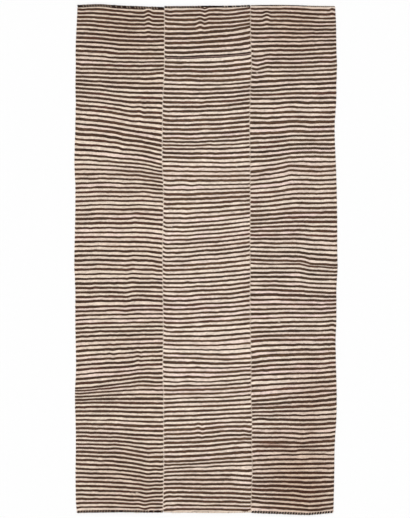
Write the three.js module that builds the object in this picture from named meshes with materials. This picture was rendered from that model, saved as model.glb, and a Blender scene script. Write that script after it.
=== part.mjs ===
// A flat-woven wool kilim, lying flat. It is sewn together from three narrow loom widths, and each
// of the six raw ends is overcast with yarn. Millimetres: X runs across the rug, Y along it and Z up,
// with the origin under the middle of the rug.
import * as THREE from 'three';

// Cloth
const clothThickness = 3;
const selvedgeThickness = 3.7;
const edgeThickness = 2.3;
const selvedgeWidth = 8;
const selvedgeFade = 24;
const pieceGap = 0.3;

// The four long edges, each row a place along the rug.
const longEdges = [
  { y: 1660, leftSelvedge: -834, leftSeam: -271, rightSeam: 289, rightSelvedge: 838 },
  { y: 1550, leftSelvedge: -839, leftSeam: -269, rightSeam: 289, rightSelvedge: 844 },
  { y: 1350, leftSelvedge: -847, leftSeam: -270, rightSeam: 293, rightSelvedge: 848 },
  { y: 1260, leftSelvedge: -845, leftSeam: -270, rightSeam: 297, rightSelvedge: 851 },
  { y: 1150, leftSelvedge: -848, leftSeam: -274, rightSeam: 290, rightSelvedge: 847 },
  { y: 1050, leftSelvedge: -846, leftSeam: -280, rightSeam: 287, rightSelvedge: 847 },
  { y: 850, leftSelvedge: -849, leftSeam: -283, rightSeam: 284, rightSelvedge: 836 },
  { y: 620, leftSelvedge: -855, leftSeam: -284, rightSeam: 288, rightSelvedge: 844 },
  { y: 500, leftSelvedge: -849, leftSeam: -277, rightSeam: 287, rightSelvedge: 848 },
  { y: 300, leftSelvedge: -849, leftSeam: -277, rightSeam: 288, rightSelvedge: 852 },
  { y: 60, leftSelvedge: -854, leftSeam: -282, rightSeam: 286, rightSelvedge: 853 },
  { y: -60, leftSelvedge: -855, leftSeam: -281, rightSeam: 289, rightSelvedge: 855 },
  { y: -180, leftSelvedge: -849, leftSeam: -280, rightSeam: 287, rightSelvedge: 848 },
  { y: -400, leftSelvedge: -849, leftSeam: -277, rightSeam: 288, rightSelvedge: 847 },
  { y: -520, leftSelvedge: -847, leftSeam: -277, rightSeam: 290, rightSelvedge: 842 },
  { y: -700, leftSelvedge: -844, leftSeam: -280, rightSeam: 294, rightSelvedge: 845 },
  { y: -880, leftSelvedge: -851, leftSeam: -275, rightSeam: 293, rightSelvedge: 849 },
  { y: -1050, leftSelvedge: -847, leftSeam: -275, rightSeam: 299, rightSelvedge: 846 },
  { y: -1200, leftSelvedge: -845, leftSeam: -274, rightSeam: 297, rightSelvedge: 836 },
  { y: -1350, leftSelvedge: -847, leftSeam: -274, rightSeam: 301, rightSelvedge: 834 },
  { y: -1600, leftSelvedge: -844, leftSeam: -278, rightSeam: 293, rightSelvedge: 829 },
  { y: -1660, leftSelvedge: -836, leftSeam: -278, rightSeam: 292, rightSelvedge: 826 },
];

// The outer end of each panel with its edging, across the panel from its left edge (0) to its
// right edge (1).
const leftEnds = [
  { across: 0.0, top: 1654, bottom: -1645 },
  { across: 0.15, top: 1659, bottom: -1644 },
  { across: 0.3, top: 1660, bottom: -1643 },
  { across: 0.5, top: 1650, bottom: -1641 },
  { across: 0.7, top: 1647, bottom: -1642 },
  { across: 0.87, top: 1643, bottom: -1644 },
  { across: 1.0, top: 1641, bottom: -1642 },
];
const middleEnds = [
  { across: 0.0, top: 1648, bottom: -1641 },
  { across: 0.25, top: 1648, bottom: -1643 },
  { across: 0.5, top: 1651, bottom: -1645 },
  { across: 0.75, top: 1650, bottom: -1645 },
  { across: 1.0, top: 1655, bottom: -1642 },
];
const rightEnds = [
  { across: 0.0, top: 1654, bottom: -1645 },
  { across: 0.25, top: 1656, bottom: -1651 },
  { across: 0.5, top: 1655, bottom: -1655 },
  { across: 0.65, top: 1651, bottom: -1661 },
  { across: 0.8, top: 1649, bottom: -1655 },
  { across: 1.0, top: 1648, bottom: -1645 },
];

// Low places where uneven beating or a drawn seam lifts the cloth off the floor. The reach is how
// far each one runs, across and along the rug, before the cloth is flat again.
const puckers = [
  { x: -373, y: 1540, reachAcross: 70, reachAlong: 190, height: 1.8 },
  { x: -6, y: 1560, reachAcross: 65, reachAlong: 150, height: 1.5 },
  { x: 393, y: 1550, reachAcross: 60, reachAlong: 140, height: 1.5 },
  { x: 340, y: 1180, reachAcross: 80, reachAlong: 90, height: 1.2 },
  { x: -690, y: 830, reachAcross: 150, reachAlong: 260, height: 2.2 },
  { x: 549, y: 580, reachAcross: 110, reachAlong: 170, height: 1.9 },
  { x: 60, y: 300, reachAcross: 130, reachAlong: 200, height: 1.2 },
  { x: 700, y: -150, reachAcross: 110, reachAlong: 220, height: 1.4 },
  { x: -540, y: -380, reachAcross: 120, reachAlong: 210, height: 1.3 },
  { x: -790, y: -900, reachAcross: 90, reachAlong: 120, height: 1.7 },
  { x: 120, y: -1040, reachAcross: 120, reachAlong: 190, height: 1.5 },
  { x: -399, y: -1470, reachAcross: 75, reachAlong: 210, height: 2.0 },
  { x: 640, y: -1580, reachAcross: 120, reachAlong: 130, height: 1.6 },
];

// Columns of points across a panel, closer at its two edges, and the spacing of its rows.
const columns = [0, 0.014, 0.042, 0.14, 0.28, 0.42, 0.56, 0.7, 0.84, 0.958, 0.986, 1];
const rowSpacing = 63;
const outerRow = 1575;

const panels = [
  { name: 'panel_left', left: 'leftSelvedge', right: 'leftSeam', ends: leftEnds, colour: 0xa08f80 },
  { name: 'panel_middle', left: 'leftSeam', right: 'rightSeam', ends: middleEnds, colour: 0xa39283 },
  { name: 'panel_right', left: 'rightSeam', right: 'rightSelvedge', ends: rightEnds, colour: 0x9e8c7c },
];

// Overcast yarn round the raw ends. A wrap is one bump of the yarn.
const edgings = [
  { name: 'edging_top_left', panel: 0, end: 'top', width: 12, height: 6, wrap: 16, colour: 0x3a2c26 },
  { name: 'edging_top_middle', panel: 1, end: 'top', width: 10, height: 5.5, wrap: 16, colour: 0x40322b },
  { name: 'edging_top_right', panel: 2, end: 'top', width: 7, height: 4.5, wrap: 24, colour: 0x6c625c },
  { name: 'edging_bottom_left', panel: 0, end: 'bottom', width: 10, height: 5.5, wrap: 20, colour: 0x42322a },
  { name: 'edging_bottom_middle', panel: 1, end: 'bottom', width: 7, height: 4.5, wrap: 24, colour: 0xb9aea4 },
  { name: 'edging_bottom_right', panel: 2, end: 'bottom', width: 11, height: 6, wrap: 20, colour: 0x3c2d27 },
];

// Where one of the four long edges runs, on a smooth curve through its column of the table.
function edgeAt(column, y) {
  const last = longEdges.length - 1;
  let i = 0;
  while (i < last - 1 && y < longEdges[i + 1].y) i += 1;
  const slopeAt = (row) => {
    const before = longEdges[Math.max(row - 1, 0)];
    const after = longEdges[Math.min(row + 1, last)];
    return (after[column] - before[column]) / (after.y - before.y);
  };
  const run = longEdges[i + 1].y - longEdges[i].y;
  const t = (y - longEdges[i].y) / run;
  const blend = t * t * (3 - 2 * t);
  return THREE.MathUtils.lerp(longEdges[i][column], longEdges[i + 1][column], blend)
    + run * t * (1 - t) * (slopeAt(i) * (1 - t) - slopeAt(i + 1) * t);
}

// Value of one column of a table of panel ends, on straight lines between its rows.
function endAt(table, across, column) {
  let i = 0;
  while (i < table.length - 2 && across > table[i + 1].across) i += 1;
  const t = (across - table[i].across) / (table[i + 1].across - table[i].across);
  return THREE.MathUtils.lerp(table[i][column], table[i + 1][column], t);
}

const edgingOf = (panelIndex, end) => edgings.find((e) => e.panel === panelIndex && e.end === end);

// Corner points of a panel's own cloth at one end, inside the edging.
function clothEnd(panelIndex, end) {
  const { ends } = panels[panelIndex];
  const outward = end === 'top' ? 1 : -1;
  const inset = edgingOf(panelIndex, end).width + pieceGap;
  return columns.map((across) => ({
    across,
    y: endAt(ends, across, end) - outward * inset,
  }));
}

// How far the cloth is lifted at one place by the puckers.
function lift(x, y) {
  let total = 0;
  for (const pucker of puckers) {
    const distance = Math.hypot((x - pucker.x) / pucker.reachAcross, (y - pucker.y) / pucker.reachAlong);
    if (distance < 1) total += pucker.height * (0.5 + 0.5 * Math.cos(Math.PI * distance));
  }
  return total;
}

// Thickness of the cloth at a distance from its nearest long edge, with the corded selvedge.
function thicknessAt(fromEdge) {
  if (fromEdge < selvedgeWidth) {
    return THREE.MathUtils.lerp(edgeThickness, selvedgeThickness, fromEdge / selvedgeWidth);
  }
  const fade = THREE.MathUtils.smoothstep(fromEdge, selvedgeWidth, selvedgeFade);
  return THREE.MathUtils.lerp(selvedgeThickness, clothThickness, fade);
}

function meshOf(name, points, faces, colour, roughness) {
  const geometry = new THREE.BufferGeometry();
  geometry.setAttribute('position', new THREE.Float32BufferAttribute(points.flat(), 3));
  geometry.setIndex(faces.flat());
  geometry.computeVertexNormals();
  const material = new THREE.MeshStandardMaterial({ color: colour, roughness, metalness: 0 });
  const mesh = new THREE.Mesh(geometry, material);
  mesh.name = name;
  return mesh;
}

// One loom width of cloth: an uneven top face, a flat underside and the edge between them.
function panelMesh(panelIndex) {
  const panel = panels[panelIndex];
  const topEnd = clothEnd(panelIndex, 'top');
  const bottomEnd = clothEnd(panelIndex, 'bottom');
  const rowCount = Math.round(2 * outerRow / rowSpacing) + 3;
  const width = columns.length;

  const points = [];
  for (const upper of [true, false]) {
    for (let row = 0; row < rowCount; row += 1) {
      for (let column = 0; column < width; column += 1) {
        let y = -outerRow + (row - 1) * rowSpacing;
        if (row === 0) y = bottomEnd[column].y;
        if (row === rowCount - 1) y = topEnd[column].y;
        const leftEdge = edgeAt(panel.left, y) + pieceGap / 2;
        const rightEdge = edgeAt(panel.right, y) - pieceGap / 2;
        const x = THREE.MathUtils.lerp(leftEdge, rightEdge, columns[column]);
        const fromEdge = Math.min(x - leftEdge, rightEdge - x);
        const z = upper ? thicknessAt(fromEdge) + lift(x, y) : 0;
        points.push([x, y, z]);
      }
    }
  }

  const top = (row, column) => row * width + column;
  const under = (row, column) => (rowCount + row) * width + column;
  const last = width - 1;
  const endRow = rowCount - 1;
  const faces = [];
  const quad = (a, b, c, d) => faces.push([a, b, c], [a, c, d]);

  for (let row = 0; row < endRow; row += 1) {
    for (let column = 0; column < last; column += 1) {
      quad(top(row, column), top(row, column + 1), top(row + 1, column + 1), top(row + 1, column));
    }
    quad(top(row + 1, 0), under(row + 1, 0), under(row, 0), top(row, 0));
    quad(top(row, last), under(row, last), under(row + 1, last), top(row + 1, last));
  }
  for (let column = 0; column < last; column += 1) {
    quad(top(0, column), under(0, column), under(0, column + 1), top(0, column + 1));
    quad(top(endRow, column + 1), under(endRow, column + 1), under(endRow, column), top(endRow, column));
  }

  // The flat underside needs only its rim: strips from edge to edge, and a fan at each end.
  for (let row = 1; row < endRow - 1; row += 1) {
    quad(under(row, 0), under(row + 1, 0), under(row + 1, last), under(row, last));
  }
  for (let column = 0; column < last; column += 1) {
    faces.push([under(1, 0), under(0, column + 1), under(0, column)]);
    faces.push([under(endRow - 1, 0), under(endRow, column), under(endRow, column + 1)]);
  }
  faces.push([under(1, 0), under(1, last), under(0, last)]);
  faces.push([under(endRow - 1, 0), under(endRow, last), under(endRow - 1, last)]);

  return meshOf(panel.name, points, faces, panel.colour, 0.95);
}

// Section of an overcast edging, as shares of its half width and of its height. The first two
// points are its flat foot, which the wraps leave alone.
const edgingSection = [
  { out: -0.6, up: 0, wrapped: false },
  { out: 0.6, up: 0, wrapped: false },
  { out: 1, up: 0.45, wrapped: true },
  { out: 0.55, up: 1, wrapped: true },
  { out: -0.55, up: 1, wrapped: true },
  { out: -1, up: 0.45, wrapped: true },
];
const valleyShare = 0.8;
const endPull = 2;

// Yarn overcast along one panel end: a low cord with a bump for each wrap.
function edgingMesh(edging) {
  const panel = panels[edging.panel];
  const line = clothEnd(edging.panel, edging.end);
  const outward = edging.end === 'top' ? 1 : -1;
  const outset = outward * (pieceGap + edging.width / 2);
  const middleOf = (across) => endAt(line, across, 'y') + outset;
  const start = edgeAt(panel.left, middleOf(0)) + endPull;
  const finish = edgeAt(panel.right, middleOf(1)) - endPull;
  const steps = 2 * Math.round((finish - start) / edging.wrap);
  const sides = edgingSection.length;

  const points = [];
  for (let step = 0; step <= steps; step += 1) {
    const along = step / steps;
    const x = THREE.MathUtils.lerp(start, finish, along);
    const wrapShare = step % 2 === 0 ? valleyShare : 1;
    for (const corner of edgingSection) {
      const share = corner.wrapped ? wrapShare : 1;
      const y = middleOf(along) + corner.out * share * edging.width / 2;
      points.push([x, y, corner.up * share * edging.height]);
    }
  }

  const faces = [];
  for (let step = 0; step < steps; step += 1) {
    for (let side = 0; side < sides; side += 1) {
      const next = (side + 1) % sides;
      const a = step * sides + side;
      const b = step * sides + next;
      faces.push([a, b, b + sides], [a, b + sides, a + sides]);
    }
  }
  const lastRing = steps * sides;
  for (let side = 1; side < sides - 1; side += 1) {
    faces.push([0, side + 1, side]);
    faces.push([lastRing, lastRing + side, lastRing + side + 1]);
  }
  return meshOf(edging.name, points, faces, edging.colour, 0.9);
}

const kilim = new THREE.Group();
kilim.name = 'kilim';
panels.forEach((panel, index) => kilim.add(panelMesh(index)));
edgings.forEach((edging) => kilim.add(edgingMesh(edging)));

export default kilim;
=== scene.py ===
# A flat-woven kilim of three narrow loom widths laced side by side, lying flat on a pale floor.
import math

import bpy
import numpy as np
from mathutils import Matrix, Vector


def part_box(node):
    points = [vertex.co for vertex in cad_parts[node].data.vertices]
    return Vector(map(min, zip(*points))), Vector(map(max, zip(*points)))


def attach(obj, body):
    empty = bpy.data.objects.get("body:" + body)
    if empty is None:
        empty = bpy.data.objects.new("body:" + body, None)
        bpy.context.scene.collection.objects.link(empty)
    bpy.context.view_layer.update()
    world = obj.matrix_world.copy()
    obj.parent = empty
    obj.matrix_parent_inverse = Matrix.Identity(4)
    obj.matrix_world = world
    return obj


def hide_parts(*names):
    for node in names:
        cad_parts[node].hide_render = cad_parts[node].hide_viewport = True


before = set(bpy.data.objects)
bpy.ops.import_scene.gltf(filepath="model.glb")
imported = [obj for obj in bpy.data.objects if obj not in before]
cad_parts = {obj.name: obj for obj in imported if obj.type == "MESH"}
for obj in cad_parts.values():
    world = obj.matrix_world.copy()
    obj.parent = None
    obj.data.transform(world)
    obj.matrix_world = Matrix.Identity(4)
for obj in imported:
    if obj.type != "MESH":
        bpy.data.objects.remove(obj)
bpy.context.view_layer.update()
MM = 0.001

# Woven panels
# Each panel is one loom width of handspun wool in a weft-faced plain weave, so only the ivory and
# brown wefts show. The weaver beat them unevenly: the stripes rise and dip, crowd and spread.

# Thickness of the field, the selvedge cord and the rim, and how far in the cord reaches and fades.
CLOTH, SELVEDGE, RIM = 3.0, 3.7, 2.3
SELVEDGE_WIDTH, SELVEDGE_FADE = 8.0, 24.0
# Rise of a stripe's middle, the unevenness of the surface, and the air under the cloth.
BAND_CROWN, SURFACE_DRIFT, UNDER_AIR = 0.35, 0.12, 0.02
SHARP_ANGLE = math.radians(55)
# Scallops of the turning wefts on a selvedge: the share of a turn that stays inside it, and depth.
SEAM_SCALLOP, OUTER_SCALLOP = (1.2, 0.5), (0.6, 1.5)
TURN_DRIFT = 0.5

# Rows of points in each stripe, steps across the field, and the columns near a selvedge.
ROWS_A_STRIPE = 6
FIELD_STEPS = 54
EDGE_COLUMNS = (0.0, 1.5, 4.0, 8.0)

# Height that still counts as touching the floor, and the stretch that belongs to a panel's end.
FLOOR_TOUCH = 0.05
END_REACH = 40.0

# Width of odd stripes, and the share of the pitch where a crowded stripe starts to be squeezed.
HEAVY, THIN, DOUBLE = 1.2, 0.8, 1.4
MOST_BROWN, CROWDED_SHARE = 0.6, 0.3
WIDTH_JITTER, WIDTH_DRIFT = 0.06, 0.09
EDGE_BROWN_FULL, EDGE_BROWN_NONE = 10, 60
PULL_REACH, PULL_DRIFT = 24.0, 0.5
# How the wefts wander off the chart: height, then the stripes and the columns between turns, which
# are more than a row has where a drift is the same all across.
DRIFTS = ((0.9, 5, 9), (0.7, 2, 6), (0.6, 1, 3), (0.35, 1, 1.6))
ALL_ACROSS = 999

# Layout of the map for baking, in shares of its side.
UPPER_STRIP, LOWER_STRIP, STRIP_GAP, STRIPS = 0.218, 0.106, 0.005, 3
STRIP_MARGIN, RIM_PUSH = 0.004, 0.002

# Low puckers where the beat changes or a seam draws in: place, reach across and along, height.
PUCKERS = (
    (-373, 1540, 70, 190, 1.8),
    (-6, 1560, 65, 150, 1.5),
    (393, 1550, 60, 140, 1.5),
    (340, 1180, 80, 90, 1.2),
    (-690, 830, 150, 260, 2.2),
    (549, 580, 110, 170, 1.9),
    (60, 300, 130, 200, 1.2),
    (700, -150, 110, 220, 1.4),
    (-540, -380, 120, 210, 1.3),
    (-790, -900, 90, 120, 1.7),
    (120, -1040, 120, 190, 1.5),
    (-399, -1470, 75, 210, 2.0),
    (640, -1580, 120, 130, 1.6),
)

# Where the wool is darker and duller, mostly towards the two ends: place, reach across and along, strength.
DULL_PLACES = (
    (-560, 1560, 420, 420, 0.45),
    (0, 1600, 420, 380, 0.4),
    (560, 1600, 420, 520, 0.5),
    (600, -1480, 420, 620, 0.8),
    (700, -900, 260, 420, 0.35),
    (-560, -1500, 420, 420, 0.4),
    (0, -1560, 380, 420, 0.35),
)

# Patches where brown fibre was carded into the ivory wool, which looks pinkish tan there.
HAZY_PLACES = (
    (425, -1201, 150, 22, 0.9),
    (765, -1162, 110, 16, 0.45),
    (790, -1345, 90, 24, 0.5),
    (440, -945, 120, 16, 0.4),
    (0, 1174, 300, 12, 0.3),
    (-60, 735, 240, 12, 0.25),
    (-600, 1230, 200, 14, 0.25),
    (-720, 1346, 150, 18, 0.4),
    (-370, 1328, 90, 16, 0.35),
    (750, 1585, 110, 16, 0.35),
    (395, -1362, 60, 16, 0.4),
    (590, -1440, 70, 32, 0.4),
    (235, -1178, 50, 20, 0.5),
)


def smooth_through(places, values, at):
    """Values on a smooth curve through the charted ones, which stand at rising places."""
    slopes = np.gradient(values, places)
    i = np.clip(np.searchsorted(places, at) - 1, 0, len(places) - 2)
    run = places[i + 1] - places[i]
    t = (at - places[i]) / run
    blend = t * t * (3 - 2 * t)
    bend = run * t * (1 - t) * (slopes[i] * (1 - t) - slopes[i + 1] * t)
    return values[i] * (1 - blend) + values[i + 1] * blend + bend


def node_points(node):
    """The corners of a CAD solid in millimetres, each once and in order from left to right."""
    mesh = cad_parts[node].data
    points = np.zeros(len(mesh.vertices) * 3)
    mesh.vertices.foreach_get("co", points)
    return np.unique(np.round(points.reshape(-1, 3) / MM, 2), axis=0)


def panel_outline(node):
    """The long edges and the two ends of a panel, from the rim of its flat underside."""
    points = node_points(node)
    rim = points[points[:, 2] < FLOOR_TOUCH]
    lengthwise, counts = np.unique(rim[:, 1], return_counts=True)
    inner = lengthwise[counts == 2]
    inner = inner[np.abs(inner) < np.abs(rim[:, 1]).max() - END_REACH]
    far_end = rim[rim[:, 1] > inner.max()]
    near_end = rim[rim[:, 1] < inner.min()]
    sides = rim[np.isin(rim[:, 1], inner)]
    edges = []
    for corner, pick in ((0, np.min), (-1, np.max)):
        across = [pick(sides[sides[:, 1] == y, 0]) for y in inner]
        ys = np.concatenate(([near_end[corner, 1]], inner, [far_end[corner, 1]]))
        xs = np.concatenate(([near_end[corner, 0]], across, [far_end[corner, 0]]))
        edges.append((ys, xs))
    return edges, near_end, far_end


def wander(rng, rows, columns, row_step, column_step):
    """Soft random drift of about one unit over a grid, turning every few rows and columns."""
    coarse = rng.normal(size=(int(rows / row_step) + 3, int(columns / column_step) + 3))
    down = np.arange(rows) / row_step
    over = np.arange(columns) / column_step
    i, j = down.astype(int), over.astype(int)
    s, t = (down - i)[:, None], (over - j)[None, :]
    s, t = s * s * (3 - 2 * s), t * t * (3 - 2 * t)
    upper = coarse[i][:, j] * (1 - t) + coarse[i][:, j + 1] * t
    lower = coarse[i + 1][:, j] * (1 - t) + coarse[i + 1][:, j + 1] * t
    return upper * (1 - s) + lower * s


def soft_spots(spots, x, y):
    """The summed height of round soft spots at each place."""
    total = np.zeros_like(x)
    for spot_x, spot_y, reach_across, reach_along, height in spots:
        distance = np.hypot((x - spot_x) / reach_across, (y - spot_y) / reach_along)
        total += height * (0.5 + 0.5 * np.cos(np.pi * np.minimum(distance, 1)))
    return total


def smooth_step(value, low, high):
    """Zero below the low value and one above the high one, with a soft rise between."""
    t = np.clip((value - low) / (high - low), 0, 1)
    return t * t * (3 - 2 * t)


def cloth_lift(x, y):
    """How far the cloth stands off the floor."""
    return soft_spots(PUCKERS, x, y)


def crease(across, reach):
    """A sudden step in the wefts, less the even slope that carries it to either side."""
    place = np.clip(across / reach, -1, 1)
    return (np.clip(place * 3, -1, 1) - place) / 2


def stripe_edges(weave, edges, shares, width, seed):
    """The far and near edge of each brown stripe along the whole panel, stripe by stripe."""
    rng = np.random.default_rng(seed)
    chart = np.array(weave["chart"], float)
    count = int(chart[-1, 0]) + 1
    stripes = np.arange(count)
    charted = np.array([np.interp(stripes, chart[:, 0], column) for column in chart.T[1:]])
    marks = np.array(weave["marks"]) / width
    across = np.array([smooth_through(marks, unit, shares) for unit in np.eye(len(marks))])
    middles = charted.T @ across
    left, right = (smooth_through(ys, xs, middles) for ys, xs in edges)
    x = left + shares * (right - left)
    steps = np.zeros_like(middles)
    for crease_x, crease_y, reach_across, reach_along, drop in weave["creases"]:
        along = soft_spots(((0, crease_y, 1, reach_along, -drop),), np.zeros_like(middles), middles)
        steps = steps + along * crease(x - crease_x, reach_across)
    middles = middles + soft_spots(weave["bumps"], x, middles) + steps
    columns = len(shares)
    for height, stripe_step, column_step in DRIFTS:
        middles = middles + height * wander(rng, count, columns, stripe_step, column_step)
    edge_gain = 0
    for side, from_edge in enumerate((shares * width, (1 - shares) * width)):
        pull = np.interp(stripes, *np.transpose(weave["pulls"][side]))[:, None]
        near_edge = 1 - smooth_step(from_edge, 0, PULL_REACH)
        middles = middles + pull * near_edge * (1 + PULL_DRIFT * wander(rng, count, 1, 3, ALL_ACROSS))
        browner = 1 - smooth_step(from_edge, EDGE_BROWN_FULL, EDGE_BROWN_NONE)
        edge_gain = edge_gain + weave["edge_brown"][side] * browner
    widths = np.interp(stripes, *np.transpose(weave["widths"])) * rng.normal(1, WIDTH_JITTER, count)
    for odd, share in (("heavy", HEAVY), ("thin", THIN), ("double", DOUBLE)):
        widths[list(weave[odd])] *= share
    widths = widths[:, None] * (1 + edge_gain + WIDTH_DRIFT * wander(rng, count, columns, 1, 6))
    room = MOST_BROWN * np.abs(np.gradient(middles, axis=0))
    widths = np.where(widths > room, room + CROWDED_SHARE * (widths - room), widths)
    bounds = np.empty((2 * count, columns))
    bounds[0::2], bounds[1::2] = middles + widths / 2, middles - widths / 2
    pitch = middles[:1] - middles[1:2]
    return np.concatenate((bounds[:2] + pitch, bounds, bounds[-2:] - pitch))


def bake_map(faces, rows, shares):
    """Lays a panel's two faces out flat in lengths side by side, the rim on their outer edges."""
    columns = len(shares)
    row, column = np.divmod(faces % (rows * columns), columns)
    under = faces >= rows * columns
    below = under.all(axis=1, keepdims=True)
    face_row = np.minimum(row.min(axis=1, keepdims=True), rows - 2)
    strip = face_row * STRIPS // (rows - 1)
    first, last = -(-strip * (rows - 1) // STRIPS), -(-(strip + 1) * (rows - 1) // STRIPS)
    over = np.where(below, 1 - shares[column], shares[column])
    above_start = strip * (UPPER_STRIP + STRIP_GAP)
    below_start = STRIPS * (UPPER_STRIP + STRIP_GAP) + strip * (LOWER_STRIP + STRIP_GAP)
    u = np.where(below, below_start + over * LOWER_STRIP, above_start + over * UPPER_STRIP)
    u = u + STRIP_GAP / 2
    v = 1 - STRIP_MARGIN - (row - first) / (last - first) * (1 - 2 * STRIP_MARGIN)
    pushed = under & ~below
    at_end = (row == 0).all(axis=1, keepdims=True) | (row == rows - 1).all(axis=1, keepdims=True)
    u = u + RIM_PUSH * (pushed & ~at_end) * (1 * (column == columns - 1) - 1 * (column == 0))
    v = v + RIM_PUSH * (pushed & at_end) * (1 * (row == 0) - 1 * (row == rows - 1))
    return np.stack((u, v), -1)


def put(tree, kind, inputs=(), **settings):
    """Adds a node to a tree. Its inputs are values or the sockets that feed them."""
    made = tree.nodes.new(kind)
    for name, value in settings.items():
        setattr(made, name, value)
    pairs = inputs.items() if isinstance(inputs, dict) else enumerate(inputs)
    for key, value in pairs:
        if isinstance(value, bpy.types.NodeSocket):
            tree.links.new(value, made.inputs[key])
        else:
            made.inputs[key].default_value = value
    return made


def maths(tree, operation, *inputs):
    return put(tree, "ShaderNodeMath", inputs, operation=operation).outputs[0]


def scaled(tree, value, factor):
    return maths(tree, "MULTIPLY", value, factor)


def vector(tree, x=0.0, y=0.0, z=0.0):
    return put(tree, "ShaderNodeCombineXYZ", (x, y, z)).outputs[0]


def mixed(tree, factor, first, second, blend="MIX"):
    """The first colour where the factor is 0, and the second where it is 1."""
    inputs = {0: factor, 6: first, 7: second}
    return put(tree, "ShaderNodeMix", inputs, data_type="RGBA", blend_type=blend).outputs[2]


def brightened(tree, tint, factor):
    return mixed(tree, 1.0, tint, vector(tree, factor, factor, factor), "MULTIPLY")


def ramp(tree, value, low, high, start, finish):
    """A soft change from start to finish while the value goes from low to high."""
    inputs = (value, low, high, start, finish)
    return put(tree, "ShaderNodeMapRange", inputs, interpolation_type="SMOOTHSTEP").outputs[0]


def noise(tree, place, scale, detail, roughness):
    inputs = {"Vector": place, "Scale": scale, "Detail": detail, "Roughness": roughness}
    return put(tree, "ShaderNodeTexNoise", inputs).outputs[0]


def cloth_noise(tree, across, along, scales, detail, roughness, start=0.0):
    """Noise over the cloth, the finer the larger its scales across and along the rug."""
    place = vector(tree, scaled(tree, across, scales[0]), scaled(tree, along, scales[1]), start)
    return noise(tree, place, 1.0, detail, roughness)


def read(tree, label):
    """A value that the mesh keeps under a name."""
    return put(tree, "ShaderNodeAttribute", attribute_name=label).outputs["Fac"]


def open_group(name, inputs, outputs, kind="ShaderNodeTree"):
    """A node group with named inputs and outputs, and its two end nodes."""
    tree = bpy.data.node_groups.new(name, kind)
    for label, socket_type, value in inputs:
        socket = tree.interface.new_socket(label, in_out="INPUT", socket_type=socket_type)
        if value is not None:
            socket.default_value = value
    for label, socket_type in outputs:
        tree.interface.new_socket(label, in_out="OUTPUT", socket_type=socket_type)
    return tree, tree.nodes.new("NodeGroupInput"), tree.nodes.new("NodeGroupOutput")


def colour(red, green, blue):
    """A colour from screen values of 0 to 255."""
    channels = [c / 255 for c in (red, green, blue)]
    return [c / 12.92 if c < 0.04045 else ((c + 0.055) / 1.055) ** 2.4 for c in channels] + [1.0]


def matt_material(name, roughness, specular):
    """A new material with its tree and its shader."""
    material = bpy.data.materials.new(name)
    material.use_nodes = True
    tree = material.node_tree
    shader = tree.nodes["Principled BSDF"]
    shader.inputs["Roughness"].default_value = roughness
    shader.inputs["Specular IOR Level"].default_value = specular
    return material, tree, shader


def raise_surface(tree, shader, height, strength, distance):
    bump = put(tree, "ShaderNodeBump", {"Strength": strength, "Distance": distance, "Height": height})
    tree.links.new(bump.outputs[0], shader.inputs["Normal"])


def placed(name, data):
    """A new object in the scene."""
    made = bpy.data.objects.new(name, data)
    bpy.context.scene.collection.objects.link(made)
    return made


def handspun_group():
    """Handspun wool: thick and thin, lighter and darker along the yarn, with a fuzzy surface."""
    tree, inner, outer = open_group(
        "handspun_wool",
        (
            ("Colour", "NodeSocketColor", None),
            ("Along", "NodeSocketFloat", 0.0),
            ("Pick", "NodeSocketFloat", 0.0),
            ("Unevenness", "NodeSocketFloat", 0.3),
        ),
        (("Colour", "NodeSocketColor"), ("Thickness", "NodeSocketFloat")),
    )
    along, pick = inner.outputs["Along"], inner.outputs["Pick"]
    streaks = noise(tree, vector(tree, scaled(tree, along, 13.0), pick, 3.7), 1.0, 2.0, 0.6)
    slubs = noise(tree, vector(tree, scaled(tree, along, 55.0), pick, 9.1), 1.0, 2.0, 0.55)
    fuzz = noise(tree, put(tree, "ShaderNodeTexCoord").outputs["Object"], 420.0, 3.0, 0.65)
    level = -0.5
    for layer, share in ((streaks, 0.5), (slubs, 0.3), (fuzz, 0.2)):
        level = maths(tree, "MULTIPLY_ADD", layer, share, level)
    depth = scaled(tree, inner.outputs["Unevenness"], 4.0)
    brightness = maths(tree, "MULTIPLY_ADD", level, depth, 1.0)
    shaded = brightened(tree, inner.outputs["Colour"], brightness)
    tree.links.new(shaded, outer.inputs["Colour"])
    tree.links.new(slubs, outer.inputs["Thickness"])
    return tree


def plain_weave_group():
    """Weft-faced plain weave: each pick rides over every other warp, and the next over the rest."""
    tree, inner, outer = open_group(
        "weft_faced_weave",
        (("Warp", "NodeSocketFloat", 0.0), ("Pick", "NodeSocketFloat", 0.0)),
        (("Height", "NodeSocketFloat"),),
    )
    pick = inner.outputs["Pick"]
    turn = maths(tree, "MODULO", maths(tree, "FLOOR", pick), 2.0)
    phase = scaled(tree, maths(tree, "ADD", inner.outputs["Warp"], turn), math.pi)
    ride = maths(tree, "MULTIPLY_ADD", maths(tree, "COSINE", phase), 0.5, 0.5)
    place = maths(tree, "MULTIPLY_ADD", maths(tree, "FRACT", pick), 2.0, -1.0)
    round_yarn = maths(tree, "SUBTRACT", 1.0, scaled(tree, place, place))
    height = scaled(tree, round_yarn, maths(tree, "POWER", ride, 0.7))
    tree.links.new(height, outer.inputs["Height"])
    return tree


handspun = handspun_group()
plain_weave = plain_weave_group()

WARP_SPACING = 0.0036
PICKS_A_STRIPE = 12.0
# Raggedness of the stripes' edges, and the half width and soft edge of a brown one, in stripes.
RAGGED = 0.11
HALF_BROWN, SOFT_EDGE = 0.25, 0.025
BROWN_WOOL_CLOUDS, IVORY_WOOL_CLOUDS = 2.1, 1.1
DULL_BROWN = colour(60, 29, 14)
HAZE = colour(178, 146, 130)
# The doubled stripe has a dark body and a pale line between its two picks of brown.
DOUBLED_DARK, DOUBLED_PALE = colour(36, 23, 19), colour(172, 144, 134)
DOUBLED_MIDDLE = 0.3


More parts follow.
